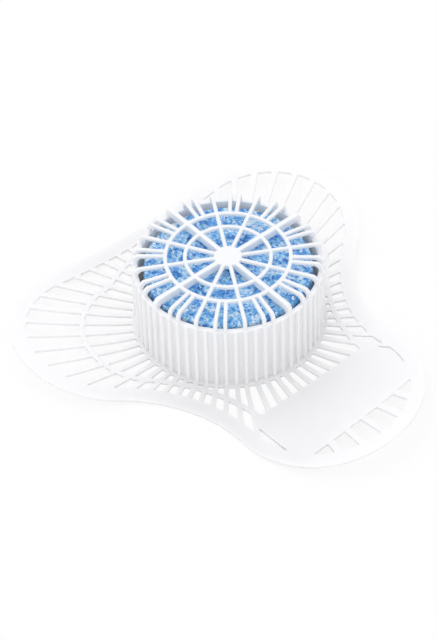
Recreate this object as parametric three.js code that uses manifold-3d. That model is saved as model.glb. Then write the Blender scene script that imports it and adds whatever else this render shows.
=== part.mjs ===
// Urinal deodoriser screen: a thin three-lobed mat with a ribbed basket in its middle and a barred cage
// over the basket, all one soft moulding; a pressed scent block stands in the basket, and a snap-in grid
// closes the basket from below. Millimetres, +Z up. The basket's axis is the Z axis, the underside of
// the basket is z = 0, and the mat's long front lobe points along -Y.
import * as THREE from 'three';
import * as BufferGeometryUtils from 'three/addons/utils/BufferGeometryUtils.js';
import Module from 'manifold-3d';

const wasm = await Module();
wasm.setup();

const degrees = THREE.MathUtils.degToRad;

// Mat outline: three round lobes joined by hollow waists and a nearly straight back
const REAR_LOBE_RADIUS = 49;
const REAR_REACH = 62.2; // basket axis to the centre of each rear lobe
const REAR_AZIMUTH = degrees(30.9);
const FRONT_LOBE_RADIUS = 51;
const FRONT_REACH = 72.7; // basket axis to the centre of the front lobe
const WAIST_RADIUS = 71.1;
const BACK_RADIUS = 820;
const MAT_THICKNESS = 1.4;

// Mat openwork: radial ribs between a collar, an inner ring and the plain border
const RIB_COUNT = 60;
const BORDER = 8.6;
const COLLAR_RADIUS = 49.3;
const RIB_WIDTH = 2.4; // at the collar
const RIB_SPREAD = 0.014; // width added per millimetre outwards
const RIB_FLARE = 0.00016; // and per millimetre squared
const CORNER_RIB_WIDTH = 2.2; // the two ribs that run past the plate's corners
const CORNER_RIB_TURN = degrees(0.6);
const RING_WIDTH = 2.5;
const RING_BEND_REACH = 37.5; // basket axis to the centre of the inner ring's rear bends
const RING_BEND_AZIMUTH = degrees(30);
const RING_WAIST_REACH = 142.3; // basket axis to the centre of its waist arcs
const RING_WAIST_AZIMUTH = degrees(-29.8);
const RING_WAIST_RADIUS = 89.1;
const SHORTEST_HOLE = 0.8;

// Blank plate in the front lobe, with a row of open cells beyond it
const PLATE_HALF_WIDTH = 39.1;
const PLATE_NEAR = 62.3; // basket axis to the plate's inner edge
const PLATE_FAR = 100.4;

// Rise of the soft mat outside the collar, stated at RISE_AT from the axis
const RISE_AT = 100;
const RISE_POWER = 1.5;
const RISE_MEAN = 7.4;
const RISE_SIDE = 5.4;
const RISE_SIDE_AZIMUTH = degrees(15);
const RISE_FOLD = 1.8;
const RISE_FOLD_AZIMUTH = degrees(-9);
const RISE_LOBE = 2.5;
const RISE_LOBE_AZIMUTH = degrees(41);

// Curl of the mat's right side: it rises less behind, and its edge is drawn in along the waist
const CURL_DROP = 8.4;
const CURL_DROP_POWER = 2;
const CURL_DROP_AZIMUTH = degrees(39);
const CURL_DROP_SPREAD = degrees(48);
const DRAW_IN = 9.1;
const DRAW_IN_POWER = 2.8;
const DRAW_IN_AZIMUTH = degrees(-27);
const DRAW_IN_SPREAD = degrees(31);

// Mesh steps of the mat
const EDGE_STEP = 11; // longest piece of a rib's edge
const CURVE_STEP = 8; // longest piece of a curved edge

// Basket wall
const WALL_INNER = 44.9;
const WALL_THICKNESS = 1.5;
const WALL_HEIGHT = 38;
const FLUTE_DEPTH = 1.6;
const FLUTE_WIDTH = 1.7;
const RIM_HEIGHT = 1.2;
const RIM_LIP = 1; // the rim stands this far out past the wall's skin

// Cage
const CAGE_TOP = 43.5;
const HUB_RADIUS = 7;
const HUB_DEPTH = 2.6;
const SPOKE_COUNT = 12;
const INNER_RING_RADIUS = 21.3;
const OUTER_RING_RADIUS = 31.1;
const BAR_WIDTH = 1.9;
const BAR_DEPTH = 1.8;
const BLADE_EVERY = 3; // every third spoke is a deeper blade
const BLADE_WIDTH = 2.5;
const BLADE_DEPTH = 4.4;
const SHORT_BAR_TURN = degrees(12); // short bars stand this far to each side of a spoke
const LEG_THICKNESS = 1.8;
const LEG_INSET = 0.3; // the leg's inner face behind the wall's inner face
const LEG_ROOT = 0.8; // depth of the leg's foot in the rim
const KNEE = 1.2;
const GUSSET = 1.8;

// Snap-in grid under the block
const SEAT_GAP = 0.3;
const GRID_THICKNESS = 2.6;
const GRID_RIM_WIDTH = 3.4;
const GRID_REBATE = 1; // step in the grid's lower edge that rests on the basket's nibs
const GRID_BAR_WIDTH = 2.2;
const GRID_BAR_DEPTH = 1.8;
const GRID_SPOKE_COUNT = 6;
const NIB_COUNT = 6;
const NIB_WIDTH = 6;

// Scent block
const BLOCK_CLEARANCE = 2.7; // between the block and the wall's inner face
const BLOCK_HEADROOM = 2.1; // between the block's top and the cage's blades
const BLOCK_EDGE = 1.6;

const pitch = 2 * Math.PI / RIB_COUNT;
const wallOuter = WALL_INNER + WALL_THICKNESS;
const wallMiddle = WALL_INNER + WALL_THICKNESS / 2;
const gridOuter = WALL_INNER - SEAT_GAP;
const polar = (radius, azimuth) => new THREE.Vector2(radius * Math.cos(azimuth), radius * Math.sin(azimuth));
const azimuthOf = (point) => Math.atan2(point.y, point.x);

// Closed solid from a three.js geometry
function solid(geometry) {
  const plain = geometry.index ? geometry.toNonIndexed() : geometry;
  plain.deleteAttribute('normal');
  plain.deleteAttribute('uv');
  const welded = BufferGeometryUtils.mergeVertices(plain, 1e-4);
  const vertProperties = new Float32Array(welded.attributes.position.array);
  const triVerts = new Uint32Array(welded.index.array);
  return new wasm.Manifold(new wasm.Mesh({ numProp: 3, vertProperties, triVerts }));
}

const joined = (solids) => solids.reduce((whole, part) => whole.add(part));

// Named mesh from a solid
function piece(name, body, material) {
  const { vertProperties, triVerts } = body.getMesh();
  const geometry = new THREE.BufferGeometry();
  geometry.setAttribute('position', new THREE.BufferAttribute(new Float32Array(vertProperties), 3));
  geometry.setIndex(new THREE.BufferAttribute(new Uint32Array(triVerts), 1));
  geometry.computeVertexNormals();
  const mesh = new THREE.Mesh(geometry, material);
  mesh.name = name;
  return mesh;
}

// Solid turned round the Z axis from a closed list of [radius, height] corners
function turned(corners, segments = RIB_COUNT) {
  const profile = [...corners, corners[0]].map(([radius, height]) => new THREE.Vector2(radius, height));
  return solid(new THREE.LatheGeometry(profile, segments).rotateX(Math.PI / 2));
}

function band(inner, outer, bottom, top) {
  return turned([[inner, bottom], [outer, bottom], [outer, top], [inner, top]]);
}

// Bar whose side view is a list of [radius, height] corners, turned to an azimuth
function bar(corners, width, azimuth) {
  const side = new THREE.Shape(corners.map(([radius, height]) => new THREE.Vector2(radius, height)));
  const geometry = new THREE.ExtrudeGeometry(side, { depth: width, bevelEnabled: false, steps: 1 });
  return solid(geometry.rotateX(Math.PI / 2).translate(0, width / 2, 0).rotateZ(azimuth));
}

// Points on an arc, both ends included
function arc(centre, radius, from, to) {
  const count = Math.ceil(Math.abs(to - from) * radius / CURVE_STEP);
  return Array.from({ length: count + 1 }, (_, i) => polar(radius, from + (to - from) * i / count).add(centre));
}

// Direction of one point seen from another, between -90 and 270 degrees
function bearing(from, to) {
  const angle = azimuthOf(to.clone().sub(from));
  return angle < -Math.PI / 2 ? angle + 2 * Math.PI : angle;
}

// The point at one distance from a and another from b, on the right of the way from a to b
function between(a, reachA, b, reachB) {
  const way = b.clone().sub(a);
  const length = way.length();
  const ahead = (length ** 2 + reachA ** 2 - reachB ** 2) / (2 * length);
  const aside = Math.sqrt(reachA ** 2 - ahead ** 2);
  way.normalize();
  return a.clone().addScaledVector(way, ahead).addScaledVector(new THREE.Vector2(way.y, -way.x), aside);
}

const mirrored = (point) => new THREE.Vector2(-point.x, point.y);
const frontLobe = new THREE.Vector2(0, -FRONT_REACH);
const rearLobe = polar(REAR_REACH, REAR_AZIMUTH);
const waist = between(frontLobe, FRONT_LOBE_RADIUS + WAIST_RADIUS, rearLobe, REAR_LOBE_RADIUS + WAIST_RADIUS);
const backReach = REAR_LOBE_RADIUS + BACK_RADIUS;
const back = between(rearLobe, backReach, mirrored(rearLobe), backReach);
const ringBend = polar(RING_BEND_REACH, RING_BEND_AZIMUTH);
const ringWaist = polar(RING_WAIST_REACH, RING_WAIST_AZIMUTH);
const frontInner = FRONT_LOBE_RADIUS - BORDER;

// A line up the right side from front to back, closed by its mirror image
function closedLine(right) {
  return [...right, ...right.filter((point) => Math.abs(point.x) > 0.01).map(mirrored).reverse()];
}

// The mat's outline moved inwards
function outline(inset) {
  return closedLine([
    ...arc(frontLobe, FRONT_LOBE_RADIUS - inset, -Math.PI / 2, bearing(frontLobe, waist)),
    ...arc(waist, WAIST_RADIUS + inset, bearing(waist, frontLobe), bearing(waist, rearLobe)).slice(1),
    ...arc(rearLobe, REAR_LOBE_RADIUS - inset, bearing(rearLobe, waist), bearing(rearLobe, back)).slice(1),
    ...arc(back, BACK_RADIUS + inset, bearing(back, rearLobe), -Math.PI / 2).slice(1),
  ]);
}

// The inner ring's outer edge moved inwards: along the waists and round behind the basket
function ringLine(inset) {
  const waistRadius = RING_WAIST_RADIUS + inset;
  const bendRadius = ringBend.distanceTo(ringWaist) - waistRadius;
  return closedLine([
    ...arc(ringWaist, waistRadius, Math.PI, bearing(ringWaist, ringBend)),
    ...arc(ringBend, bendRadius, bearing(ringBend, ringWaist), Math.PI / 2).slice(1),
  ]);
}

// Distance from the axis to a closed line at one azimuth
function reachOf(line, azimuth) {
  const ray = polar(1, azimuth);
  for (let i = 0; i < line.length; i++) {
    const from = line[i];
    const to = line[(i + 1) % line.length];
    const before = ray.cross(from);
    const after = ray.cross(to);
    if (before <= 0 && after > 0) return from.clone().lerp(to, before / (before - after)).dot(ray);
  }
  return Infinity;
}

const borderLine = outline(BORDER);
const ringOuterLine = ringLine(0);
const ringInnerLine = ringLine(RING_WIDTH);
const toRow = (distance, azimuth) => (Math.sin(azimuth) < 0 ? -distance / Math.sin(azimuth) : Infinity);
const toBorder = (azimuth) => reachOf(borderLine, azimuth);
const toRingOuter = (azimuth) => reachOf(ringOuterLine, azimuth);
const toRingInner = (azimuth) => Math.min(reachOf(ringInnerLine, azimuth), toRow(PLATE_NEAR, azimuth));
const toCollar = () => COLLAR_RADIUS;
const toPlateFar = (azimuth) => toRow(PLATE_FAR, azimuth);
const toPlateSide = (azimuth) => PLATE_HALF_WIDTH / Math.abs(Math.cos(azimuth));

const frontRib = RIB_COUNT * 3 / 4; // runs down the middle of the front lobe
const plateRibs = RIB_COUNT / 12; // from there to the ribs that pass the plate's corners

// Point on a rib's edge, side -1 or 1, at a distance along the rib
function ribEdge(rib, side, distance) {
  const fromFront = rib - frontRib;
  const corner = Math.abs(fromFront) === plateRibs;
  const outwards = distance - COLLAR_RADIUS;
  const root = corner ? CORNER_RIB_WIDTH : RIB_WIDTH + RIB_SPREAD * outwards;
  const width = root + RIB_FLARE * outwards ** 2;
  const turn = corner ? Math.sign(fromFront) * CORNER_RIB_TURN : 0;
  return new THREE.Vector2(distance, side * width / 2).rotateAround(new THREE.Vector2(), rib * pitch + turn);
}

// Distance along a rib at which its edge meets a curve given as reach by azimuth
function ribEnd(rib, side, curve) {
  let low = WALL_INNER;
  let high = FRONT_REACH + FRONT_LOBE_RADIUS;
  for (let i = 0; i < 30; i++) {
    const middle = (low + high) / 2;
    const point = ribEdge(rib, side, middle);
    if (point.length() < curve(azimuthOf(point))) low = middle;
    else high = middle;
  }
  return low;
}

// Points strictly between two ends of a curve given as reach by azimuth
function along(curve, start, end) {
  const from = azimuthOf(start);
  const turn = Math.atan2(start.cross(end), start.dot(end));
  const count = Math.ceil(start.distanceTo(end) / CURVE_STEP);
  return Array.from({ length: count - 1 }, (_, i) => {
    const azimuth = from + turn * (i + 1) / count;
    return polar(curve(azimuth), azimuth);
  });
}

// Points along a rib's edge, both ends included
function edge(rib, side, from, to) {
  const count = Math.ceil(Math.abs(to - from) / EDGE_STEP);
  return Array.from({ length: count + 1 }, (_, i) => ribEdge(rib, side, from + (to - from) * i / count));
}

// Hole between a rib and the next one, from one curve out to another
function slot(rib, inner, outer) {
  const right = [ribEnd(rib, 1, inner), ribEnd(rib, 1, outer)];
  const left = [ribEnd(rib + 1, -1, inner), ribEnd(rib + 1, -1, outer)];
  if (Math.min(right[1] - right[0], left[1] - left[0]) < SHORTEST_HOLE) return [];
  const up = edge(rib, 1, right[0], right[1]);
  const down = edge(rib + 1, -1, left[1], left[0]);
  return [[...up, ...along(outer, up.at(-1), down[0]), ...down, ...along(inner, down.at(-1), up[0])]];
}

// Open sliver on the right of the plate, under the rib that passes its corner
function plateSliver() {
  const rib = frontRib + plateRibs;
  const top = ribEdge(rib, -1, ribEnd(rib, -1, toPlateSide));
  const side = ribEdge(rib, -1, ribEnd(rib, -1, toBorder));
  const drop = Math.sqrt(frontInner ** 2 - PLATE_HALF_WIDTH ** 2);
  const bottom = new THREE.Vector2(PLATE_HALF_WIDTH, -FRONT_REACH - drop);
  return [top, bottom, ...along(toBorder, bottom, side), side];
}

// End cell of the row beyond the plate, on the right
function endCell() {
  const drop = PLATE_FAR - FRONT_REACH;
  const tip = new THREE.Vector2(Math.sqrt(frontInner ** 2 - drop ** 2), -PLATE_FAR);
  const rib = frontRib + 2;
  const left = edge(rib, 1, ribEnd(rib, 1, toPlateFar), ribEnd(rib, 1, toBorder));
  return [...left, ...along(toBorder, left.at(-1), tip), tip];
}

const holes = [];
for (let rib = 0; rib < RIB_COUNT; rib++) {
  holes.push(...slot(rib, toCollar, toRingInner));
  const pastPlate = rib >= frontRib + plateRibs || rib < frontRib - plateRibs;
  if (pastPlate) holes.push(...slot(rib, toRingOuter, toBorder));
  if (rib >= frontRib - 2 && rib < frontRib + 2) holes.push(...slot(rib, toPlateFar, toBorder));
}
for (const hole of [plateSliver(), endCell()]) holes.push(hole, hole.map(mirrored).reverse());

// Bell-shaped share of a curl at an azimuth
function bell(azimuth, middle, spread) {
  const off = Math.atan2(Math.sin(azimuth - middle), Math.cos(azimuth - middle));
  return Math.exp(-((off / spread) ** 2));
}

// Place taken by a plan point of the soft mat, [x, y, height of its underside]
function settled(point) {
  const out = (point.length() - COLLAR_RADIUS) / (RISE_AT - COLLAR_RADIUS);
  if (out <= 0) return [point.x, point.y, 0];
  const azimuth = azimuthOf(point);
  const lift = RISE_MEAN + RISE_SIDE * Math.cos(azimuth - RISE_SIDE_AZIMUTH)
    + RISE_FOLD * Math.cos(2 * (azimuth - RISE_FOLD_AZIMUTH))
    + RISE_LOBE * Math.cos(3 * (azimuth - RISE_LOBE_AZIMUTH));
  const drop = CURL_DROP * bell(azimuth, CURL_DROP_AZIMUTH, CURL_DROP_SPREAD) * out ** CURL_DROP_POWER;
  const inwards = DRAW_IN * bell(azimuth, DRAW_IN_AZIMUTH, DRAW_IN_SPREAD) * out ** DRAW_IN_POWER;
  const { x, y } = polar(point.length() - inwards, azimuth);
  return [x, y, Math.max(lift * out ** RISE_POWER - drop, 0)];
}

// Swaps the shared edges of neighbouring triangles until none has a needless sharp corner
function evened(points, faces) {
  const angle = (at, a, b) => points[a].clone().sub(points[at]).angleTo(points[b].clone().sub(points[at]));
  const area = (a, b, c) => points[b].clone().sub(points[a]).cross(points[c].clone().sub(points[a]));
  const third = (face, a, b) => face.find((corner) => corner !== a && corner !== b);
  let swaps = 1;
  while (swaps) {
    swaps = 0;
    const owner = new Map();
    const touched = new Set();
    faces.forEach((face, index) => face.forEach((a, i) => owner.set(a + ',' + face[(i + 1) % 3], index)));
    for (const [key, first] of owner) {
      const [a, b] = key.split(',').map(Number);
      const second = owner.get(b + ',' + a);
      if (second === undefined || touched.has(first) || touched.has(second)) continue;
      const c = third(faces[first], a, b);
      const d = third(faces[second], a, b);
      if (angle(c, a, b) + angle(d, a, b) < Math.PI + 1e-6) continue;
      if (area(a, d, c) < 1e-3 || area(d, b, c) < 1e-3) continue;
      faces[first] = [a, d, c];
      faces[second] = [d, b, c];
      touched.add(first).add(second);
      swaps++;
    }
  }
  return faces;
}

// The mat as a closed sheet: one plan mesh used for both faces, raised by the same rise
function mat() {
  const rim = outline(0);
  const middle = Array.from({ length: RIB_COUNT }, (_, i) => polar(wallMiddle, -i * pitch));
  const inside = [...holes.map((hole) => (THREE.ShapeUtils.isClockWise(hole) ? hole : [...hole].reverse())), middle];
  const points = [rim, ...inside].flat();
  const faces = evened(points, THREE.ShapeUtils.triangulateShape(rim, inside));
  const places = points.map(settled);
  const place = (index, height) => [places[index][0], places[index][1], places[index][2] + height];
  const corners = [];
  for (const [a, b, c] of faces) {
    corners.push(...place(a, MAT_THICKNESS), ...place(b, MAT_THICKNESS), ...place(c, MAT_THICKNESS));
    corners.push(...place(c, 0), ...place(b, 0), ...place(a, 0));
  }
  let start = 0;
  for (const loop of [rim, ...inside]) {
    for (let i = 0; i < loop.length; i++) {
      const a = start + i;
      const b = start + (i + 1) % loop.length;
      corners.push(...place(a, 0), ...place(b, 0), ...place(b, MAT_THICKNESS));
      corners.push(...place(a, 0), ...place(b, MAT_THICKNESS), ...place(a, MAT_THICKNESS));
    }
    start += loop.length;
  }
  const geometry = new THREE.BufferGeometry();
  geometry.setAttribute('position', new THREE.Float32BufferAttribute(corners, 3));
  return solid(geometry);
}

// Fluted wall with its rim and the nibs that hold the grid
function wall() {
  const skin = [];
  for (let i = 0; i < RIB_COUNT; i++) {
    const profile = [[wallOuter, -1], [wallOuter + FLUTE_DEPTH, -1], [wallOuter + FLUTE_DEPTH, 1], [wallOuter, 1]];
    skin.push(...profile.map(([radius, side]) => polar(radius, i * pitch + side * Math.asin(FLUTE_WIDTH / 2 / radius))));
  }
  const shape = new THREE.Shape(skin);
  shape.holes.push(new THREE.Path(Array.from({ length: RIB_COUNT }, (_, i) => polar(WALL_INNER, -i * pitch))));
  const tube = solid(new THREE.ExtrudeGeometry(shape, { depth: WALL_HEIGHT, bevelEnabled: false, steps: 1 }));
  const rim = band(WALL_INNER + LEG_INSET, wallOuter + RIM_LIP, WALL_HEIGHT - RIM_HEIGHT, WALL_HEIGHT);
  const nibInner = gridOuter - GRID_REBATE + SEAT_GAP;
  const nibTop = GRID_REBATE - SEAT_GAP;
  const nibs = Array.from({ length: NIB_COUNT }, (_, i) => bar(
    [[nibInner, 0], [wallMiddle, 0], [wallMiddle, nibTop], [nibInner, nibTop]],
    NIB_WIDTH,
    (i + 0.5) * 2 * Math.PI / NIB_COUNT,
  ));
  return joined([tube, rim, ...nibs]);
}

// Cage: hub, two rings, spokes and short bars that all bend down to the rim
function cage() {
  const legInner = WALL_INNER + LEG_INSET;
  const legOuter = legInner + LEG_THICKNESS;
  const foot = WALL_HEIGHT - LEG_ROOT;
  const bent = (from, depth) => [
    [from, CAGE_TOP - depth],
    [legInner - GUSSET, CAGE_TOP - depth],
    [legInner, CAGE_TOP - depth - GUSSET],
    [legInner, foot],
    [legOuter, foot],
    [legOuter, CAGE_TOP - KNEE],
    [legOuter - KNEE, CAGE_TOP],
    [from, CAGE_TOP],
  ];
  const ring = (radius) => band(radius - BAR_WIDTH / 2, radius + BAR_WIDTH / 2, CAGE_TOP - BAR_DEPTH, CAGE_TOP);
  const hub = turned([[0, CAGE_TOP - HUB_DEPTH], [HUB_RADIUS, CAGE_TOP - HUB_DEPTH], [HUB_RADIUS, CAGE_TOP],
    [0, CAGE_TOP]], RIB_COUNT / 2);
  const bars = [];
  for (let spoke = 0; spoke < SPOKE_COUNT; spoke++) {
    const azimuth = spoke * 2 * Math.PI / SPOKE_COUNT;
    const blade = spoke % BLADE_EVERY === 0;
    bars.push(bar(bent(HUB_RADIUS / 2, blade ? BLADE_DEPTH : BAR_DEPTH), blade ? BLADE_WIDTH : BAR_WIDTH, azimuth));
    for (const side of [-1, 1]) {
      bars.push(bar(bent(OUTER_RING_RADIUS, BAR_DEPTH), BAR_WIDTH, azimuth + side * SHORT_BAR_TURN));
    }
  }
  return joined([hub, ring(INNER_RING_RADIUS), ring(OUTER_RING_RADIUS), ...bars]);
}

// Grid: stepped rim, hub, ring and spokes
function grid() {
  const inner = gridOuter - GRID_RIM_WIDTH;
  const rim = turned([[inner, 0], [gridOuter - GRID_REBATE, 0], [gridOuter - GRID_REBATE, GRID_REBATE],
    [gridOuter, GRID_REBATE], [gridOuter, GRID_THICKNESS], [inner, GRID_THICKNESS]]);
  const hub = turned([[0, 0], [HUB_RADIUS, 0], [HUB_RADIUS, GRID_BAR_DEPTH], [0, GRID_BAR_DEPTH]], RIB_COUNT / 2);
  const ring = band(INNER_RING_RADIUS, INNER_RING_RADIUS + GRID_BAR_WIDTH, 0, GRID_BAR_DEPTH);
  const spokeEnd = inner + GRID_BAR_WIDTH / 2;
  const spokes = Array.from({ length: GRID_SPOKE_COUNT }, (_, i) => bar(
    [[HUB_RADIUS / 2, 0], [spokeEnd, 0], [spokeEnd, GRID_BAR_DEPTH], [HUB_RADIUS / 2, GRID_BAR_DEPTH]],
    GRID_BAR_WIDTH,
    i * 2 * Math.PI / GRID_SPOKE_COUNT,
  ));
  return joined([rim, hub, ring, ...spokes]);
}

function block() {
  const bottom = GRID_THICKNESS + SEAT_GAP;
  const top = CAGE_TOP - BLADE_DEPTH - BLOCK_HEADROOM;
  const radius = WALL_INNER - BLOCK_CLEARANCE;
  return turned([[0, bottom], [radius - BLOCK_EDGE, bottom], [radius, bottom + BLOCK_EDGE],
    [radius, top - BLOCK_EDGE], [radius - BLOCK_EDGE, top], [0, top]]);
}

const softWhite = new THREE.MeshStandardMaterial({ color: '#f7f8fa', roughness: 0.45, metalness: 0 });
const gridWhite = new THREE.MeshStandardMaterial({ color: '#f2f3f5', roughness: 0.45, metalness: 0 });
const scentBlue = new THREE.MeshStandardMaterial({ color: '#3f95e2', roughness: 0.8, metalness: 0 });

const group = new THREE.Group();
group.name = 'deodoriser_screen';
group.add(piece('screen', joined([mat(), wall(), cage()]), softWhite));
group.add(piece('block', block(), scentBlue));
group.add(piece('base_grid', grid(), gridWhite));

export default group;
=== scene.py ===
import math

import bmesh
import bpy
import numpy as np
from mathutils import Matrix, Vector, geometry, noise


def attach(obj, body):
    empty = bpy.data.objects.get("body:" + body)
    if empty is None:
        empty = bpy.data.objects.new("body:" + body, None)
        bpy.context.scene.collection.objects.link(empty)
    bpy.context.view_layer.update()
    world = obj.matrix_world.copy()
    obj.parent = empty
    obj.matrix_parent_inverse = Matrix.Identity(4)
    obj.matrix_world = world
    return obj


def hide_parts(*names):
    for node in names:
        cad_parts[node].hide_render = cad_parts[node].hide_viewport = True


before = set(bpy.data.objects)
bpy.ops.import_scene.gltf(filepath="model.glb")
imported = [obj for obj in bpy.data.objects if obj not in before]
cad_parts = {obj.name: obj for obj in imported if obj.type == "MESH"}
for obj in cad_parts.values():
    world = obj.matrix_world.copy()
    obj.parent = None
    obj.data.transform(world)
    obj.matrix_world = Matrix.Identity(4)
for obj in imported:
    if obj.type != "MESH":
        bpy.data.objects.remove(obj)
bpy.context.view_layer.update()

MM = 0.001

# Mat outline: three round lobes joined by hollow waists and a nearly straight back
REAR_LOBE_RADIUS = 49
REAR_REACH = 62.2
REAR_AZIMUTH = math.radians(30.9)
FRONT_LOBE_RADIUS = 51
FRONT_REACH = 72.7
WAIST_RADIUS = 71.1
BACK_RADIUS = 820
MAT_THICKNESS = 1.4

# Mat openwork
RIB_COUNT = 60
BORDER = 8.6
COLLAR_RADIUS = 49.3
RIB_WIDTH = 2.4
RIB_SPREAD = 0.014
RIB_FLARE = 0.00016
CORNER_RIB_WIDTH = 2.2
CORNER_RIB_TURN = math.radians(0.6)
RING_WIDTH = 2.5
RING_BEND_REACH = 37.5
RING_BEND_AZIMUTH = math.radians(30)
RING_WAIST_REACH = 142.3
RING_WAIST_AZIMUTH = math.radians(-29.8)
RING_WAIST_RADIUS = 89.1
SHORTEST_HOLE = 0.8
PLATE_HALF_WIDTH = 39.1
PLATE_NEAR = 62.3
PLATE_FAR = 100.4
ROW_RIBS = 2  # on each side of the front rib, in the row of cells beyond the plate

# Rise and curl of the soft mat
RISE_AT = 100
RISE_POWER = 1.5
RISE_MEAN = 7.4
# waves round the axis, height, azimuth in degrees
RISE_WAVES = ((1, 5.4, 15), (2, 1.8, -9), (3, 2.5, 41))
CURL_DROP = 8.4
CURL_DROP_POWER = 2
CURL_DROP_BELL = (math.radians(39), math.radians(48))  # middle and spread in azimuth
DRAW_IN = 9.1
DRAW_IN_POWER = 2.8
DRAW_IN_BELL = (math.radians(-27), math.radians(31))

# Basket wall
WALL_INNER = 44.9
WALL_THICKNESS = 1.5
WALL_HEIGHT = 38
FLUTE_DEPTH = 1.6
FLUTE_WIDTH = 1.7
RIM_HEIGHT = 1.2
RIM_LIP = 1
ROOT_FILLET = 0.7  # where the wall stands on the mat
# half a flute's section: distance from the flute's side, share of its depth
FLUTE_SIDE = ((-0.4, 1), (-0.15, 0.94), (0, 0.78), (0, 0.2), (0.13, 0.04), (0.4, 0))
PANEL_MIDDLE = 0.6  # half the width of the strip down a panel's middle
LIP_SOFT = 0.15
LIP_ROUND = 0.1
RIM_SOFT = 0.35
FLUTE_TOP_SOFT = 0.6

# Cage
CAGE_TOP = 43.5
HUB_RADIUS = 7
HUB_DEPTH = 2.6
SPOKE_COUNT = 12
INNER_RING_RADIUS = 21.3
OUTER_RING_RADIUS = 31.1
BAR_WIDTH = 1.9
BAR_DEPTH = 1.8
BLADE_EVERY = 3
BLADE_WIDTH = 2.5
BLADE_DEPTH = 4.4
SHORT_BAR_TURN = math.radians(12)
LEG_THICKNESS = 1.8
LEG_INSET = 0.3
LEG_ROOT = 0.8
KNEE_RADIUS = 1.9
KNEE_SOFTNESS = 1.33  # radius in the corners of a bar's side view
GUSSET = 1.8

# Nibs under the grid, grid and block
SEAT_GAP = 0.3
GRID_THICKNESS = 2.6
GRID_REBATE = 1
NIB_COUNT = 6
NIB_WIDTH = 6
BLOCK_CLEARANCE = 2.7
BLOCK_HEADROOM = 2.1
BLOCK_EDGE = 1.6

# Soft edges and mesh steps
HOLE_CORNER = 0.5  # corner radius of the mat's holes
OUTLINE_INSET = 0.1  # keeps the finer outline inside the CAD model's box
# inset and depth, from the mat's top face down
MAT_EDGE = ((0.34, 0), (0.1, 0.1), (0, 0.34), (0, 1.2), (0.14, 1.4))
BAR_EDGE = 0.32
EDGE_ROUND = 0.3  # inset and depth halfway round an edge, as a share of the edge
CURVE_STEP = 1.6
EDGE_STEP = 3.2
PLAIN_STEP = 4  # spacing of the points inside the plain areas
PLAIN_MARGIN = 1
ON_AXIS = 0.01  # points nearer to the mirror plane have no mirror image
LEAST_DROP = 0.01  # a way that drops less for its length never meets a row
HALVINGS = 26  # finds a rib's end to about a millionth of a millimetre
CORNER_SHARE = 0.45  # most of a side that a rounded corner takes
MITRE = 0.5  # keeps a sharp corner's inset point near it
FILL_INSIDE = 1  # the triangulation leaves out what lies outside the edges
NEARNESS = 1e-6  # points nearer than this are taken as one

pitch = 2 * math.pi / RIB_COUNT
wall_outer = WALL_INNER + WALL_THICKNESS
wall_middle = WALL_INNER + WALL_THICKNESS / 2
front_inner = FRONT_LOBE_RADIUS - BORDER
front_rib = RIB_COUNT * 3 // 4
plate_ribs = RIB_COUNT // 12


def polar(radius, azimuth):
    return np.stack([radius * np.cos(azimuth), radius * np.sin(azimuth)], axis=-1)


def azimuth_of(point):
    return np.arctan2(point[..., 1], point[..., 0])


def mirrored(points):
    return points * (-1, 1)


def arc(centre, radius, start, end):
    """Points on an arc, both ends included."""
    count = math.ceil(abs(end - start) * radius / CURVE_STEP)
    return centre + polar(radius, np.linspace(start, end, count + 1))


def bearing(start, end):
    """Direction of one point seen from another, between -90 and 270 degrees."""
    angle = float(azimuth_of(end - start))
    return angle + 2 * math.pi if angle < -math.pi / 2 else angle


def between(a, reach_a, b, reach_b):
    """The point at one distance from a and another from b, on the right of the way from a to b."""
    way = b - a
    length = np.hypot(*way)
    ahead = (length ** 2 + reach_a ** 2 - reach_b ** 2) / (2 * length)
    aside = math.sqrt(reach_a ** 2 - ahead ** 2)
    way = way / length
    return a + way * ahead + np.array([way[1], -way[0]]) * aside


front_lobe = np.array([0.0, -FRONT_REACH])
rear_lobe = polar(REAR_REACH, REAR_AZIMUTH)
waist = between(front_lobe, FRONT_LOBE_RADIUS + WAIST_RADIUS, rear_lobe, REAR_LOBE_RADIUS + WAIST_RADIUS)
back_reach = REAR_LOBE_RADIUS + BACK_RADIUS
back = between(rear_lobe, back_reach, mirrored(rear_lobe), back_reach)
ring_bend = polar(RING_BEND_REACH, RING_BEND_AZIMUTH)
ring_waist = polar(RING_WAIST_REACH, RING_WAIST_AZIMUTH)


def closed_line(arcs):
    """Arcs up the right side from front to back, closed by their mirror image."""
    right = np.vstack([arcs[0], *(points[1:] for points in arcs[1:])])
    off_axis = right[np.abs(right[:, 0]) > ON_AXIS]
    return np.vstack([right, mirrored(off_axis)[::-1]])


def outline(inset):
    """The mat's outline moved inwards."""
    return closed_line([
        arc(front_lobe, FRONT_LOBE_RADIUS - inset, -math.pi / 2, bearing(front_lobe, waist)),
        arc(waist, WAIST_RADIUS + inset, bearing(waist, front_lobe), bearing(waist, rear_lobe)),
        arc(rear_lobe, REAR_LOBE_RADIUS - inset, bearing(rear_lobe, waist), bearing(rear_lobe, back)),
        arc(back, BACK_RADIUS + inset, bearing(back, rear_lobe), -math.pi / 2),
    ])


def ring_line(inset):
    """The inner ring's outer edge moved inwards."""
    waist_radius = RING_WAIST_RADIUS + inset
    bend_radius = np.hypot(*(ring_bend - ring_waist)) - waist_radius
    return closed_line([
        arc(ring_waist, waist_radius, math.pi, bearing(ring_waist, ring_bend)),
        arc(ring_bend, bend_radius, bearing(ring_bend, ring_waist), math.pi / 2),
    ])


def reach_by_azimuth(line):
    """Distance from the axis to a closed line, as a function of the azimuth."""
    azimuths = azimuth_of(line)
    reaches = np.hypot(line[:, 0], line[:, 1])
    return lambda azimuth: np.interp(azimuth, azimuths, reaches, period=2 * math.pi)


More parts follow.
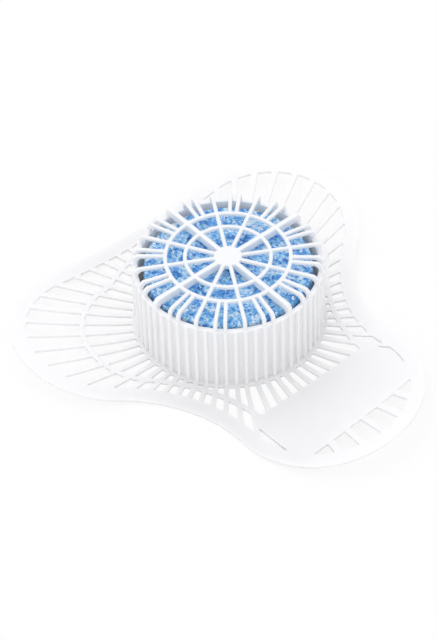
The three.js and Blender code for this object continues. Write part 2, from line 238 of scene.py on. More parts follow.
def row_by_azimuth(distance):
    """Distance from the axis to a straight row that crosses the front lobe."""
    def reach(azimuth):
        down = -np.sin(azimuth)
        return np.where(down > LEAST_DROP, distance / np.maximum(down, LEAST_DROP), np.inf)
    return reach


to_border = reach_by_azimuth(outline(BORDER))
to_ring_outer = reach_by_azimuth(ring_line(0))
ring_inner = reach_by_azimuth(ring_line(RING_WIDTH))
plate_near = row_by_azimuth(PLATE_NEAR)
to_plate_far = row_by_azimuth(PLATE_FAR)


def to_ring_inner(azimuth):
    return np.minimum(ring_inner(azimuth), plate_near(azimuth))


def to_collar(azimuth):
    return COLLAR_RADIUS + 0 * azimuth


def to_plate_side(azimuth):
    return PLATE_HALF_WIDTH / np.abs(np.cos(azimuth))


def rib_edge(rib, side, distance):
    """Points on a rib's edge, side -1 or 1, at distances along the rib."""
    from_front = rib - front_rib
    corner = abs(from_front) == plate_ribs
    outwards = distance - COLLAR_RADIUS
    root = CORNER_RIB_WIDTH if corner else RIB_WIDTH + RIB_SPREAD * outwards
    width = root + RIB_FLARE * outwards ** 2
    azimuth = rib * pitch + (math.copysign(CORNER_RIB_TURN, from_front) if corner else 0)
    return polar(np.hypot(distance, width / 2), azimuth + np.arctan2(side * width / 2, distance))


def rib_end(rib, side, curve):
    """Distance along a rib at which its edge meets a curve."""
    low = WALL_INNER
    high = FRONT_REACH + FRONT_LOBE_RADIUS
    for _ in range(HALVINGS):
        middle = (low + high) / 2
        point = rib_edge(rib, side, middle)
        if np.hypot(*point) < curve(azimuth_of(point)):
            low = middle
        else:
            high = middle
    return low


def along(curve, start, end):
    """Points strictly between two ends of a curve."""
    turn = math.atan2(start[0] * end[1] - start[1] * end[0], start @ end)
    count = math.ceil(np.hypot(*(end - start)) / CURVE_STEP)
    azimuths = azimuth_of(start) + turn * np.arange(1, count) / count
    return polar(curve(azimuths), azimuths)


def edge(rib, side, start, end):
    count = math.ceil(abs(end - start) / EDGE_STEP)
    return rib_edge(rib, side, np.linspace(start, end, count + 1))


def slot(rib, inner, outer):
    """Hole between a rib and the next one, from one curve out to another."""
    right = [rib_end(rib, 1, inner), rib_end(rib, 1, outer)]
    left = [rib_end(rib + 1, -1, inner), rib_end(rib + 1, -1, outer)]
    if min(right[1] - right[0], left[1] - left[0]) < SHORTEST_HOLE:
        return []
    up = edge(rib, 1, *right)
    down = edge(rib + 1, -1, left[1], left[0])
    return [np.vstack([up, along(outer, up[-1], down[0]), down, along(inner, down[-1], up[0])])]


def plate_sliver():
    """Open sliver on the right of the plate."""
    rib = front_rib + plate_ribs
    top = rib_end(rib, -1, to_plate_side)
    side = rib_end(rib, -1, to_border)
    drop = math.sqrt(front_inner ** 2 - PLATE_HALF_WIDTH ** 2)
    bottom = np.array([PLATE_HALF_WIDTH, -FRONT_REACH - drop])
    slope = edge(rib, -1, side, top)
    corner = slope[-1]
    count = math.ceil((corner - bottom)[1] / EDGE_STEP)
    steps = np.linspace(0, 1, count + 1)[1:-1, None]
    down = corner + (bottom - corner) * steps
    return np.vstack([slope, down, [bottom], along(to_border, bottom, slope[0])])


def end_cell():
    """End cell of the row beyond the plate, on the right."""
    rib = front_rib + ROW_RIBS
    drop = PLATE_FAR - FRONT_REACH
    tip = np.array([math.sqrt(front_inner ** 2 - drop ** 2), -PLATE_FAR])
    left = edge(rib, 1, rib_end(rib, 1, to_plate_far), rib_end(rib, 1, to_border))
    return np.vstack([left, along(to_border, left[-1], tip), [tip], along(to_plate_far, tip, left[0])])


def mat_holes():
    holes = []
    for rib in range(RIB_COUNT):
        holes += slot(rib, to_collar, to_ring_inner)
        if abs(rib + 0.5 - front_rib) > plate_ribs:
            holes += slot(rib, to_ring_outer, to_border)
        if abs(rib + 0.5 - front_rib) < ROW_RIBS:
            holes += slot(rib, to_plate_far, to_border)
    for hole in (plate_sliver(), end_cell()):
        holes += [hole, mirrored(hole)]
    return holes


def bell(azimuth, middle, spread):
    off = np.arctan2(np.sin(azimuth - middle), np.cos(azimuth - middle))
    return np.exp(-((off / spread) ** 2))


def settled(points):
    """Places taken by plan points of the soft mat, with the height of its underside."""
    reach = np.hypot(points[:, 0], points[:, 1])
    azimuth = azimuth_of(points)
    out = np.maximum((reach - COLLAR_RADIUS) / (RISE_AT - COLLAR_RADIUS), 0)
    lift = RISE_MEAN + sum(
        height * np.cos(waves * (azimuth - math.radians(at))) for waves, height, at in RISE_WAVES)
    drop = CURL_DROP * bell(azimuth, *CURL_DROP_BELL) * out ** CURL_DROP_POWER
    inwards = DRAW_IN * bell(azimuth, *DRAW_IN_BELL) * out ** DRAW_IN_POWER
    plan = polar(reach - inwards, azimuth)
    return np.column_stack([plan, np.maximum(lift * out ** RISE_POWER - drop, 0)])


def area(loop):
    return float(np.sum(loop[:, 0] * np.roll(loop[:, 1], -1) - loop[:, 1] * np.roll(loop[:, 0], -1))) / 2


def softened(loop, radius, sharpest=math.radians(20), steps=3):
    """A closed line with its sharp corners rounded."""
    before = np.roll(loop, 1, axis=0) - loop
    after = np.roll(loop, -1, axis=0) - loop
    points = []
    for corner, back_way, way in zip(loop, before, after):
        lengths = np.hypot(*back_way), np.hypot(*way)
        turn = math.pi - math.acos(np.clip(back_way @ way / (lengths[0] * lengths[1]), -1, 1))
        if turn < sharpest:
            points.append(corner)
            continue
        cut = min(radius * math.tan(turn / 2), CORNER_SHARE * min(lengths))
        start = corner + back_way / lengths[0] * cut
        end = corner + way / lengths[1] * cut
        for share in np.linspace(0, 1, steps + 1):
            points.append(start * (1 - share) ** 2 + corner * 2 * share * (1 - share) + end * share ** 2)
    return np.array(points)


def inset_line(loop, inset):
    """A closed line moved to its left."""
    ways = np.roll(loop, -1, axis=0) - loop
    ways /= np.hypot(ways[:, 0], ways[:, 1])[:, None]
    normals = np.column_stack([-ways[:, 1], ways[:, 0]])
    last = np.roll(normals, 1, axis=0)
    meeting = (normals + last) / np.maximum(1 + np.sum(normals * last, axis=1), MITRE)[:, None]
    return loop + meeting * inset


def mesh_object(name, points, faces, materials):
    """A mesh from points in millimetres."""
    mesh = bpy.data.meshes.new(name)
    mesh.from_pydata((np.asarray(points) * MM).tolist(), [], faces)
    mesh.validate()
    for material in materials:
        mesh.materials.append(material)
    piece = bpy.data.objects.new(name, mesh)
    bpy.context.scene.collection.objects.link(piece)
    return piece


def facing_out(piece):
    """Turns the faces of a closed body outwards."""
    body = bmesh.new()
    body.from_mesh(piece.data)
    bmesh.ops.recalc_face_normals(body, faces=body.faces)
    body.to_mesh(piece.data)
    body.free()
    return piece


def lofted(name, rings, materials, capped=True):
    """A closed body through rings of points, capped at both ends or closed on itself."""
    rings = np.asarray(rings)
    levels, count, _ = rings.shape
    faces = []
    for level in range(levels - 1 if capped else levels):
        low = level * count
        high = (level + 1) % levels * count
        for i in range(count):
            j = (i + 1) % count
            faces.append((low + i, low + j, high + j, high + i))
    if capped:
        faces.append(tuple(range(count))[::-1])
        faces.append(tuple(range((levels - 1) * count, levels * count)))
    return facing_out(mesh_object(name, rings.reshape(-1, 3), faces, materials))


def in_plastic(face, owner):
    """False for a triangle that spans air: its corners lie on one line, against the line's direction."""
    a, b, c = face
    if owner[a] < 0 or owner[a] != owner[b] or owner[b] != owner[c]:
        return True
    return (a < b) + (b < c) + (c < a) == 2


def mat_sheet(material):
    """The lobed mat as one closed sheet with soft edges, placed by its rise and curl."""
    loops = [outline(OUTLINE_INSET), polar(wall_middle, -np.arange(4 * RIB_COUNT) * pitch / 4)]
    for hole in mat_holes():
        hole = softened(hole, HOLE_CORNER)
        loops.append(hole[::-1] if area(hole) > 0 else hole)
    across = np.arange(PLATE_NEAR + PLAIN_STEP, PLATE_FAR - PLAIN_MARGIN, PLAIN_STEP)
    sideways = np.arange(-PLATE_HALF_WIDTH + PLAIN_STEP, PLATE_HALF_WIDTH - PLAIN_MARGIN, PLAIN_STEP)
    plate = np.array([(x, -y) for x in sideways for y in across])
    plain = np.vstack([plate, outline(BORDER / 3)[::2], outline(BORDER * 2 / 3)[::2]])
    top = np.vstack([inset_line(loop, MAT_EDGE[0][0]) for loop in loops] + [plain])
    starts = np.cumsum([0] + [len(loop) for loop in loops])
    rim_edges = [(start + i, start + (i + 1) % len(loop))
                 for start, loop in zip(starts, loops) for i in range(len(loop))]
    owner = np.concatenate([np.full(len(loop), index) for index, loop in enumerate([*loops, plain])])
    owner[starts[-1]:] = -1
    vectors = [Vector(point) for point in top]
    result = geometry.delaunay_2d_cdt(vectors, rim_edges, [], FILL_INSIDE, NEARNESS)
    original = [ids[0] for ids in result[3]]
    triangles = [tuple(original[i] for i in face) for face in result[2]]
    triangles = [face if area(top[list(face)]) > 0 else face[::-1] for face in triangles]
    triangles = [face for face in triangles if in_plastic(face, owner)]
    levels = [np.vstack([inset_line(loop, inset) for loop in loops] + [plain]) for inset, _ in MAT_EDGE]
    places = []
    for plan, (_, depth) in zip(levels, MAT_EDGE):
        place = settled(plan)
        place[:, 2] += MAT_THICKNESS - depth
        places.append(place)
    size = len(top)
    last = (len(MAT_EDGE) - 1) * size
    faces = list(triangles)
    faces += [(last + c, last + b, last + a) for a, b, c in triangles]
    for level in range(len(MAT_EDGE) - 1):
        high = level * size
        low = high + size
        faces += [(low + a, low + b, high + b, high + a) for a, b in rim_edges]
    return facing_out(mesh_object("mat", np.vstack(places), faces, [material]))


def basket_wall(thick, panel_shade):
    """Fluted wall with its rim: thick plastic, and the panels between the flutes, one wall's thickness, in
    a second material whose darker grey-blue is painted shade.
    """
    half_pitch = pitch * wall_outer / 2
    half_flute = FLUTE_WIDTH / 2
    # sideways from a flute's middle, share of its depth
    side = [(half_flute + out, share) for out, share in FLUTE_SIDE]
    flute = [(0, 1), *side, (half_pitch - PANEL_MIDDLE, 0)]
    one = [*flute, (half_pitch, 0), *[(2 * half_pitch - out, share) for out, share in flute[:0:-1]]]
    azimuths = np.array([i * pitch + out / wall_outer for i in range(RIB_COUNT) for out, _ in one])
    shares = np.array([share for _ in range(RIB_COUNT) for _, share in one])
    flute_outer = wall_outer + FLUTE_DEPTH
    lip = wall_outer + RIM_LIP
    lip_bottom = WALL_HEIGHT - RIM_HEIGHT
    hollow = ROOT_FILLET * EDGE_ROUND
    # height, radius of the panels, radius of the flutes
    outer = [
        (0, wall_outer, flute_outer),
        (MAT_THICKNESS, wall_outer + ROOT_FILLET, flute_outer + ROOT_FILLET),
        (MAT_THICKNESS + hollow, wall_outer + hollow, flute_outer + hollow),
        (MAT_THICKNESS + ROOT_FILLET, wall_outer, flute_outer),
        (lip_bottom - LIP_SOFT, wall_outer, flute_outer),
        (lip_bottom, wall_outer + LIP_ROUND, flute_outer),
        (lip_bottom + LIP_SOFT, lip - LIP_ROUND, flute_outer),
        (lip_bottom + 2 * LIP_SOFT, lip, flute_outer),
        (WALL_HEIGHT - RIM_SOFT, lip, flute_outer),
        (WALL_HEIGHT - LIP_ROUND, lip - LIP_ROUND, flute_outer - 2 * LIP_ROUND),
        (WALL_HEIGHT, lip - RIM_SOFT, flute_outer - FLUTE_TOP_SOFT),
    ]
    rings = []
    for height, panel, crest in outer:
        radius = panel + (crest - panel) * shares
        rings.append(np.column_stack([polar(radius, azimuths), np.full(len(radius), height)]))
    inner = [(WALL_HEIGHT, WALL_INNER + RIM_SOFT), (WALL_HEIGHT - LIP_ROUND, WALL_INNER + LIP_ROUND),
             (WALL_HEIGHT - RIM_SOFT, WALL_INNER), (0, WALL_INNER)]
    for height, radius in inner:
        rings.append(np.column_stack([polar(radius, azimuths), np.full(len(azimuths), height)]))
    wall = lofted("basket_wall", rings, [thick, panel_shade], capped=False)
    panel_level = 3  # between the root's fillet and the rim
    for i in range(len(azimuths)):
        j = (i + 1) % len(azimuths)
        # the panels take the second material, whose darker grey-blue is painted shade
        if shares[i] == 0 and shares[j] == 0:
            wall.data.polygons[panel_level * len(azimuths) + i].material_index = 1
    return wall


def soft_steps(low, high):
    """Levels through a body and the inset at each, so that the edges of both ends are soft."""
    half_way = BAR_EDGE * EDGE_ROUND
    return ((low, BAR_EDGE), (low + half_way, half_way), (low + BAR_EDGE, 0),
            (high - BAR_EDGE, 0), (high - half_way, half_way), (high, BAR_EDGE))


def slab(name, side_view, width, azimuth, material):
    """A flat bar cut to a side view of radius and height, with soft edges, turned to an azimuth."""
    side_view = side_view if area(side_view) > 0 else side_view[::-1]
    rings = []
    for across, inset in soft_steps(-width / 2, width / 2):
        view = inset_line(side_view, inset)
        plan = np.column_stack([view[:, 0], np.full(len(view), across)])
        turned = polar(np.hypot(plan[:, 0], plan[:, 1]), azimuth + azimuth_of(plan))
        rings.append(np.column_stack([turned, view[:, 1]]))
    return lofted(name, rings, [material])


def turned_ring(name, section, segments, material):
    """A ring turned round the axis from a closed section of radius and height."""
    section = softened(np.array(section, float), BAR_EDGE, steps=2)
    azimuths = np.arange(segments) * 2 * math.pi / segments
    rings = [np.column_stack([polar(radius, azimuths), np.full(segments, height)])
             for radius, height in section]
    return lofted(name, rings, [material], capped=False)


def turned_disc(name, radius, bottom, top, segments, material):
    azimuths = np.arange(segments) * 2 * math.pi / segments
    rings = []
    for height, inset in soft_steps(bottom, top):
        rings.append(np.column_stack([polar(radius - inset, azimuths), np.full(segments, height)]))
    return lofted(name, rings, [material])


def bar_view(start, depth):
    """Side view of a bar that runs out to the rim, bends at its knee and stands in the rim."""
    leg_inner = WALL_INNER + LEG_INSET
    leg_outer = leg_inner + LEG_THICKNESS
    foot = WALL_HEIGHT - LEG_ROOT
    under = CAGE_TOP - depth
    corners = np.array([
        (start, under), (leg_inner - GUSSET, under), (leg_inner, under - GUSSET), (leg_inner, foot),
        (leg_outer, foot), (leg_outer, CAGE_TOP - KNEE_RADIUS), (leg_outer - KNEE_RADIUS, CAGE_TOP),
        (start, CAGE_TOP),
    ])
    return softened(corners, KNEE_SOFTNESS, steps=4)


def cage_parts(material):
    low = CAGE_TOP - BAR_DEPTH
    parts = [turned_disc("hub", HUB_RADIUS, CAGE_TOP - HUB_DEPTH, CAGE_TOP, 2 * RIB_COUNT, material)]
    for radius in (INNER_RING_RADIUS, OUTER_RING_RADIUS):
        section = [(radius - BAR_WIDTH / 2, low), (radius + BAR_WIDTH / 2, low),
                   (radius + BAR_WIDTH / 2, CAGE_TOP), (radius - BAR_WIDTH / 2, CAGE_TOP)]
        parts.append(turned_ring("cage_ring", section, 4 * RIB_COUNT, material))
    for spoke in range(SPOKE_COUNT):
        azimuth = spoke * 2 * math.pi / SPOKE_COUNT
        blade = spoke % BLADE_EVERY == 0
        depth = BLADE_DEPTH if blade else BAR_DEPTH
        width = BLADE_WIDTH if blade else BAR_WIDTH
        parts.append(slab("spoke", bar_view(HUB_RADIUS / 2, depth), width, azimuth, material))
        for side in (-1, 1):
            turn = azimuth + side * SHORT_BAR_TURN
            view = bar_view(OUTER_RING_RADIUS, BAR_DEPTH)
            parts.append(slab("short_bar", view, BAR_WIDTH, turn, material))
    return parts


def nibs(material):
    """Low nibs inside the foot of the wall, which hold the grid."""
    inner = WALL_INNER - GRID_REBATE
    top = GRID_REBATE - SEAT_GAP
    view = np.array([(inner, 0), (wall_middle, 0), (wall_middle, top), (inner, top)])
    turns = (np.arange(NIB_COUNT) + 0.5) * 2 * math.pi / NIB_COUNT
    return [slab("nib", view, NIB_WIDTH, turn, material) for turn in turns]


def moulding(name, base, parts):
    """One closed body joined from overlapping ones."""
    for part in parts:
        join = base.modifiers.new(part.name, "BOOLEAN")
        join.operation = "UNION"
        join.solver = "MANIFOLD"
        join.object = part
    depsgraph = bpy.context.evaluated_depsgraph_get()
    mesh = bpy.data.meshes.new_from_object(base.evaluated_get(depsgraph))
    for old in (base, *parts):
        bpy.data.objects.remove(old)
    mesh.name = name
    piece = bpy.data.objects.new(name, mesh)
    bpy.context.scene.collection.objects.link(piece)
    return piece


SCREEN_CREASE = math.radians(35)
BLOCK_CREASE = math.radians(28)
LEAD_WEIGHT = 100  # the modifier's greatest, where 50 would be even


def smooth(piece, angle):
    """Smooth shading led by the large faces, with edges sharper than an angle kept crisp."""
    piece.data.shade_smooth()
    piece.data.set_sharp_from_angle(angle=angle)
    lead = piece.modifiers.new("large_faces_lead", "WEIGHTED_NORMAL")
    lead.keep_sharp = True
    lead.weight = LEAD_WEIGHT


# Block: a pressed cake with flakes of crystal standing in its faces
BLOCK_STEP = 0.75
EDGE_TURNS = (0.4, 0.8, 1.2)  # points round the block's top edge, in radians
FLAKE_SIZE = 2.6
FLAKE_SQUEEZE = 0.75  # lets the flakes lie longer along Y
FLAKE_RELIEF = 0.55
FLAKE_SPREAD = 0.5
FLAKE_MIDDLE = 0.25
LEVEL_SEED = 37
TILT_SEED = 11
MEAN_TILT = Vector((0.5, 0.5, 0.5))


def flake_height(place):
    """Depth below the pressed face: each crystal flake has its own level and tilt."""
    stretched = Vector((place[0], place[1] * FLAKE_SQUEEZE, place[2])) / FLAKE_SIZE
    _, centres = noise.voronoi(stretched)
    level = noise.cell(centres[0] * LEVEL_SEED)
    # cell_vector is the same in each run, which noise_vector isn't
    tilt = noise.cell_vector(centres[0] * TILT_SEED) - MEAN_TILT
    return level + tilt.dot(stretched - centres[0])


def scent_block(material):
    bottom = GRID_THICKNESS + SEAT_GAP
    top = CAGE_TOP - BLADE_DEPTH - BLOCK_HEADROOM
    radius = WALL_INNER - BLOCK_CLEARANCE
    flat = radius - BLOCK_EDGE
    count = round(2 * math.pi * radius / BLOCK_STEP)
    azimuths = np.arange(count) * 2 * math.pi / count
    profile = [(reach, top) for reach in np.arange(BLOCK_STEP, flat, BLOCK_STEP)]
    profile += [(flat + BLOCK_EDGE * math.sin(turn), top - BLOCK_EDGE * (1 - math.cos(turn)))
                for turn in EDGE_TURNS]
    side = np.arange(top - BLOCK_EDGE, bottom + BLOCK_EDGE, -BLOCK_STEP)
    profile += [(radius, height) for height in side]
    profile += [(flat, bottom), (flat / 2, bottom), (BLOCK_STEP, bottom)]
    rings = []
    for reach, height in profile:
        ring = np.column_stack([polar(reach, azimuths), np.full(count, height)])
        on_top = height > top - BLOCK_EDGE / 2
        for place in ring:
            if height > bottom:
                share = flake_height(place) * FLAKE_SPREAD + FLAKE_MIDDLE
                depth = FLAKE_RELIEF * min(max(share, 0), 1)
                inwards = np.array([0, 0, -1]) if on_top else np.array([-place[0], -place[1], 0]) / radius
                place += inwards * depth
        rings.append(ring)
    return lofted("scent_block", rings, [material])


# Materials
def colour(code, alpha=1.0):
    """An sRGB hex code as a linear colour."""
    channels = [int(code[i:i + 2], 16) / 255 for i in (1, 3, 5)]
    return (*[c / 12.92 if c <= 0.04045 else ((c + 0.055) / 1.055) ** 2.4 for c in channels], alpha)


def add(tree, kind, settings=(), inputs=()):
    """Adds a node with its settings, and its inputs as links or values."""
    node = tree.nodes.new(kind)
    for name, value in dict(settings).items():
        setattr(node, name, value)
    for name, value in dict(inputs).items():
        if isinstance(value, bpy.types.NodeSocket):
            tree.links.new(value, node.inputs[name])
        else:
            node.inputs[name].default_value = value
    return node


def new_material(name):
    material = bpy.data.materials.new(name)
    material.use_nodes = True
    material.node_tree.nodes.clear()
    return material


# Sockets of the Mix node, by place in its list
VECTOR_A = 4
VECTOR_B = 5
COLOUR_A = 6
COLOUR_B = 7
MIXED_VECTOR = 1
MIXED_COLOUR = 2

CLOUD_SIZE = 22
TOOL_GRAIN = 0.9  # the real grain is about 0.1 mm, too fine to show
GRAIN_HEIGHT = 0.1
GRAIN_STRENGTH = 0.12
SATIN = (0.4, 0.56)  # least and greatest roughness
EVA_INDEX = 1.48
LIGHT_REACH = 3  # how far light wanders in the plastic


def moulded_eva(name, light, dark, haze):
    """Moulded white EVA: a soft, slightly cloudy plastic with a satin skin. Cloudy patches some
    centimetres wide shift its white a little, and a faint grain from the tool breaks up the gloss."""
    material = new_material(name)
    tree = material.node_tree
    place = add(tree, "ShaderNodeTexCoord").outputs["Object"]
    clouds = add(tree, "ShaderNodeTexNoise", inputs={
        "Vector": place, "Scale": 1 / (CLOUD_SIZE * MM), "Detail": 2})
    tint = add(tree, "ShaderNodeMix", {"data_type": "RGBA"}, {
        "Factor": clouds.outputs["Fac"], COLOUR_A: colour(light), COLOUR_B: colour(dark)})
    grain = add(tree, "ShaderNodeTexNoise", inputs={
        "Vector": place, "Scale": 1 / (TOOL_GRAIN * MM), "Detail": 3, "Roughness": 0.6})
    bump = add(tree, "ShaderNodeBump", inputs={
        "Height": grain.outputs["Fac"], "Strength": GRAIN_STRENGTH, "Distance": GRAIN_HEIGHT * MM})
    gloss = add(tree, "ShaderNodeMapRange", inputs={
        "Value": grain.outputs["Fac"], "To Min": SATIN[0], "To Max": SATIN[1]})
    skin = add(tree, "ShaderNodeBsdfPrincipled", {"subsurface_method": "RANDOM_WALK"}, {
        "Base Color": tint.outputs[MIXED_COLOUR], "Roughness": gloss.outputs["Result"],
        "IOR": EVA_INDEX, "Subsurface Weight": haze, "Subsurface Radius": (1, 1, 1),
        "Subsurface Scale": LIGHT_REACH * MM, "Normal": bump.outputs["Normal"]})
    add(tree, "ShaderNodeOutputMaterial", inputs={"Surface": skin.outputs["BSDF"]})
    return material


# Crystals: sizes in millimetres, and the share that each pattern has in the shade
WARP_SIZE = 3
WARP_SHARE = 0.004
FLAKE_WIDTH = 1.5
FLAKE_SHARE = 0.25
CHIP_WIDTH = 0.55
CHIP_SHARE = 0.13
CHIP_TURN = (0, 0, 0.7)
CHIP_STRETCH = (1, 0.32, 0.6)
DRIFT_SIZE = 8
DRIFT_SHARE = 1.0
# place on the ramp and colour, from the deepest blue to frosted white
CRYSTAL_RAMP = ((0.45, "#2c70ba"), (0.56, "#4794de"), (0.66, "#74bbf3"), (0.76, "#acdcfd"),
                (0.88, "#f0fbff"))
PAINTED_GLINT_LEVEL = 0.965  # chips above this level are painted white, as painted glints
FLAKE_BUMP = (0.7, 0.5)  # strength, height
CHIP_BUMP = (0.5, 0.25)
CRYSTAL_GLOSS = (0.18, 0.6)
CRYSTAL_INDEX = 1.53


def pressed_crystals():
    """Pressed crystals, dyed blue: flakes of clear, blue and frosted white lie at all angles, so
    neighbouring ones look deep blue, pale or bright, in drifts a centimetre or so wide. The
    brightest chips are painted white, as painted glints."""
    material = new_material("Pressed dyed crystals")
    tree = material.node_tree
    place = add(tree, "ShaderNodeTexCoord").outputs["Object"]
    warp = add(tree, "ShaderNodeTexNoise", inputs={
        "Vector": place, "Scale": 1 / (WARP_SIZE * MM), "Detail": 2})
    bent = add(tree, "ShaderNodeMix", {"data_type": "VECTOR"}, {
        "Factor": WARP_SHARE, VECTOR_A: place, VECTOR_B: warp.outputs["Color"]})
    flakes = add(tree, "ShaderNodeTexVoronoi", {"feature": "F1"}, {
        "Vector": bent.outputs[MIXED_VECTOR], "Scale": 1 / (FLAKE_WIDTH * MM), "Randomness": 1.0})
    needles = add(tree, "ShaderNodeMapping", inputs={
        "Vector": bent.outputs[MIXED_VECTOR], "Rotation": CHIP_TURN, "Scale": CHIP_STRETCH})
    chips = add(tree, "ShaderNodeTexVoronoi", {"feature": "F1"}, {
        "Vector": needles.outputs["Vector"], "Scale": 1 / (CHIP_WIDTH * MM), "Randomness": 1.0})
    drifts = add(tree, "ShaderNodeTexNoise", inputs={
        "Vector": place, "Scale": 1 / (DRIFT_SIZE * MM), "Detail": 5, "Roughness": 0.62, "Distortion": 1.6})
    flake_level = add(tree, "ShaderNodeSeparateColor", inputs={"Color": flakes.outputs["Color"]})
    chip_level = add(tree, "ShaderNodeSeparateColor", inputs={"Color": chips.outputs["Color"]})
    drift_share = add(tree, "ShaderNodeMath", {"operation": "MULTIPLY"}, {
        0: drifts.outputs["Fac"], 1: DRIFT_SHARE})
    with_chips = add(tree, "ShaderNodeMath", {"operation": "MULTIPLY_ADD"}, {
        0: chip_level.outputs[1], 1: CHIP_SHARE, 2: drift_share.outputs[0]})
    shade = add(tree, "ShaderNodeMath", {"operation": "MULTIPLY_ADD"}, {
        0: flake_level.outputs[0], 1: FLAKE_SHARE, 2: with_chips.outputs[0]})
    ramp = add(tree, "ShaderNodeValToRGB", inputs={"Fac": shade.outputs[0]})
    elements = ramp.color_ramp.elements
    for element, (position, code) in zip(elements, (CRYSTAL_RAMP[0], CRYSTAL_RAMP[-1])):
        element.position = position
        element.color = colour(code)
    for position, code in CRYSTAL_RAMP[1:-1]:
        elements.new(position).color = colour(code)
    # painted highlights: the brightest chips are mixed to white, standing in for glints of light off the
    # facets
    painted_glints = add(tree, "ShaderNodeMath", {"operation": "GREATER_THAN"}, {
        0: chip_level.outputs[0], 1: PAINTED_GLINT_LEVEL})
    with_painted_glints = add(tree, "ShaderNodeMix", {"data_type": "RGBA"}, {
        "Factor": painted_glints.outputs[0], COLOUR_A: ramp.outputs["Color"], COLOUR_B: colour("#ffffff")})
    bump = add(tree, "ShaderNodeBump", inputs={
        "Height": flakes.outputs["Distance"], "Strength": FLAKE_BUMP[0], "Distance": FLAKE_BUMP[1] * MM})
    facets = add(tree, "ShaderNodeBump", inputs={
        "Height": chip_level.outputs[0], "Strength": CHIP_BUMP[0], "Distance": CHIP_BUMP[1] * MM,
        "Normal": bump.outputs["Normal"]})
    gloss = add(tree, "ShaderNodeMapRange", inputs={
        "Value": chip_level.outputs[2], "To Min": CRYSTAL_GLOSS[0], "To Max": CRYSTAL_GLOSS[1]})
    skin = add(tree, "ShaderNodeBsdfPrincipled", inputs={
        "Base Color": with_painted_glints.outputs[MIXED_COLOUR], "Roughness": gloss.outputs["Result"],
        "IOR": CRYSTAL_INDEX, "Normal": facets.outputs["Normal"]})
    add(tree, "ShaderNodeOutputMaterial", inputs={"Surface": skin.outputs["BSDF"]})
    return material


# Camera: long lens from the front left of the mat, about 46 degrees above it
VIEW_ELEVATION = math.radians(45.584)
VIEW_ROLL = math.radians(1.874)
VIEW_TURN = math.radians(-38.86)
VIEW_DISTANCE = 1500
VIEW_ASIDE = 5.884
VIEW_ABOVE = 1.341
LENS = 167.34
FILM_HEIGHT = 36
FARTHEST = 20000


def set_camera():
    ahead = Vector((0, math.cos(VIEW_ELEVATION), -math.sin(VIEW_ELEVATION)))
    level = Vector((1, 0, 0))
    upright = Vector((0, math.sin(VIEW_ELEVATION), math.cos(VIEW_ELEVATION)))
    right = level * math.cos(VIEW_ROLL) - upright * math.sin(VIEW_ROLL)
    up = level * math.sin(VIEW_ROLL) + upright * math.cos(VIEW_ROLL)
    place = (-ahead * VIEW_DISTANCE - right * VIEW_ASIDE - up * VIEW_ABOVE) * MM
    lens = bpy.data.cameras.new("camera")
    lens.sensor_fit = "VERTICAL"
    lens.sensor_height = FILM_HEIGHT
    lens.lens = LENS
    lens.clip_end = FARTHEST * MM
    camera = bpy.data.objects.new("camera", lens)
    turn = Matrix((right, up, -ahead)).transposed().to_4x4()
    camera.matrix_world = Matrix.Rotation(VIEW_TURN, 4, "Z") @ Matrix.Translation(place) @ turn
    bpy.context.scene.collection.objects.link(camera)
    bpy.context.scene.camera = camera


# Light and floor
LAMP_DISTANCE = 1600
LAMP_SIZE = 900
DAYLIGHT = 0.88
FLOOR_SIDE = 6000
FLOOR_DROP = 0.1  # keeps the floor's face apart from the underside's
FLOOR_WHITE = 0.86  # share of plain white in the floor that the camera sees


def set_lamp(name, azimuth, elevation, power):
    """A square soft light above the object, aimed at it."""
    lamp = bpy.data.lights.new(name, "AREA")
    lamp.size = LAMP_SIZE * MM
    lamp.energy = power
    holder = bpy.data.objects.new(name, lamp)
    tilt = math.radians(elevation)
    turn = math.radians(azimuth)
    way = Vector((math.cos(turn) * math.cos(tilt), math.sin(turn) * math.cos(tilt), math.sin(tilt)))
    holder.location = way * LAMP_DISTANCE * MM
    holder.rotation_euler = way.to_track_quat("Z", "Y").to_euler()
    bpy.context.scene.collection.objects.link(holder)


def set_world():
    """Even soft light from all round, and a white backdrop where the camera sees it."""
    world = bpy.data.worlds.new("studio")
    world.use_nodes = True
    tree = world.node_tree
    tree.nodes.clear()
    path = add(tree, "ShaderNodeLightPath")
    light = add(tree, "ShaderNodeBackground", inputs={"Color": colour("#fdfdff"), "Strength": DAYLIGHT})
    seen = add(tree, "ShaderNodeBackground", inputs={"Color": colour("#ffffff"), "Strength": 1})
    mix = add(tree, "ShaderNodeMixShader", inputs={
        0: path.outputs["Is Camera Ray"], 1: light.outputs[0], 2: seen.outputs[0]})
    add(tree, "ShaderNodeOutputWorld", inputs={"Surface": mix.outputs[0]})
    bpy.context.scene.world = world


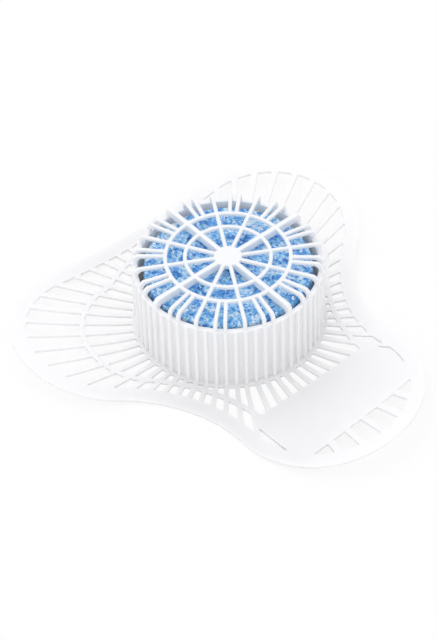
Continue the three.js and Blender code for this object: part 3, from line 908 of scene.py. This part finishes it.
def set_floor():
    """White floor: the camera sees it mostly as plain white, with a share of its shading for the
    shadow. From below it is clear, so that the underside can be looked at."""
    half = FLOOR_SIDE / 2
    corners = [(-half, -half), (half, -half), (half, half), (-half, half)]
    floor = mesh_object("floor", [(x, y, -FLOOR_DROP) for x, y in corners], [(0, 1, 2, 3)], [])
    material = new_material("Matt white floor")
    tree = material.node_tree
    path = add(tree, "ShaderNodeLightPath")
    share = add(tree, "ShaderNodeMath", {"operation": "MULTIPLY"}, {
        0: path.outputs["Is Camera Ray"], 1: FLOOR_WHITE})
    matt = add(tree, "ShaderNodeBsdfDiffuse", inputs={"Color": colour("#fafafa")})
    plain = add(tree, "ShaderNodeEmission", inputs={"Color": colour("#ffffff"), "Strength": 1})
    mix = add(tree, "ShaderNodeMixShader", inputs={
        0: share.outputs[0], 1: matt.outputs[0], 2: plain.outputs[0]})
    clear = add(tree, "ShaderNodeBsdfTransparent")
    under = add(tree, "ShaderNodeNewGeometry")
    sided = add(tree, "ShaderNodeMixShader", inputs={
        0: under.outputs["Backfacing"], 1: mix.outputs[0], 2: clear.outputs[0]})
    add(tree, "ShaderNodeOutputMaterial", inputs={"Surface": sided.outputs[0]})
    floor.data.materials.append(material)


set_camera()
set_world()
set_lamp("key", azimuth=75, elevation=62, power=4.4)
set_lamp("fill", azimuth=-150, elevation=40, power=1.6)
set_floor()
bpy.context.scene.view_settings.view_transform = "Standard"

soft_white = moulded_eva("Moulded white EVA", light="#fcfcfc", dark="#f8f8f9", haze=0.65)
# The panels' darker grey-blue is painted shade: the recesses between the flutes and the shaded inside of
# the basket seen through the wall.
panel_shade_white = moulded_eva("Moulded white EVA, painted panel shade", light="#d8dde3", dark="#d2d8df", haze=0.6)
grid_white = moulded_eva("Moulded white EVA, grid", light="#f4f5f7", dark="#eeeff3", haze=0.1)

screen = moulding("screen_moulding", mat_sheet(soft_white), [
    basket_wall(soft_white, panel_shade_white), *cage_parts(soft_white), *nibs(soft_white)])
smooth(screen, SCREEN_CREASE)
block = scent_block(pressed_crystals())
smooth(block, BLOCK_CREASE)

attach(screen, "root")
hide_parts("screen")
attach(block, "root")
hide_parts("block")
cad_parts["base_grid"].material_slots[0].material = grid_white
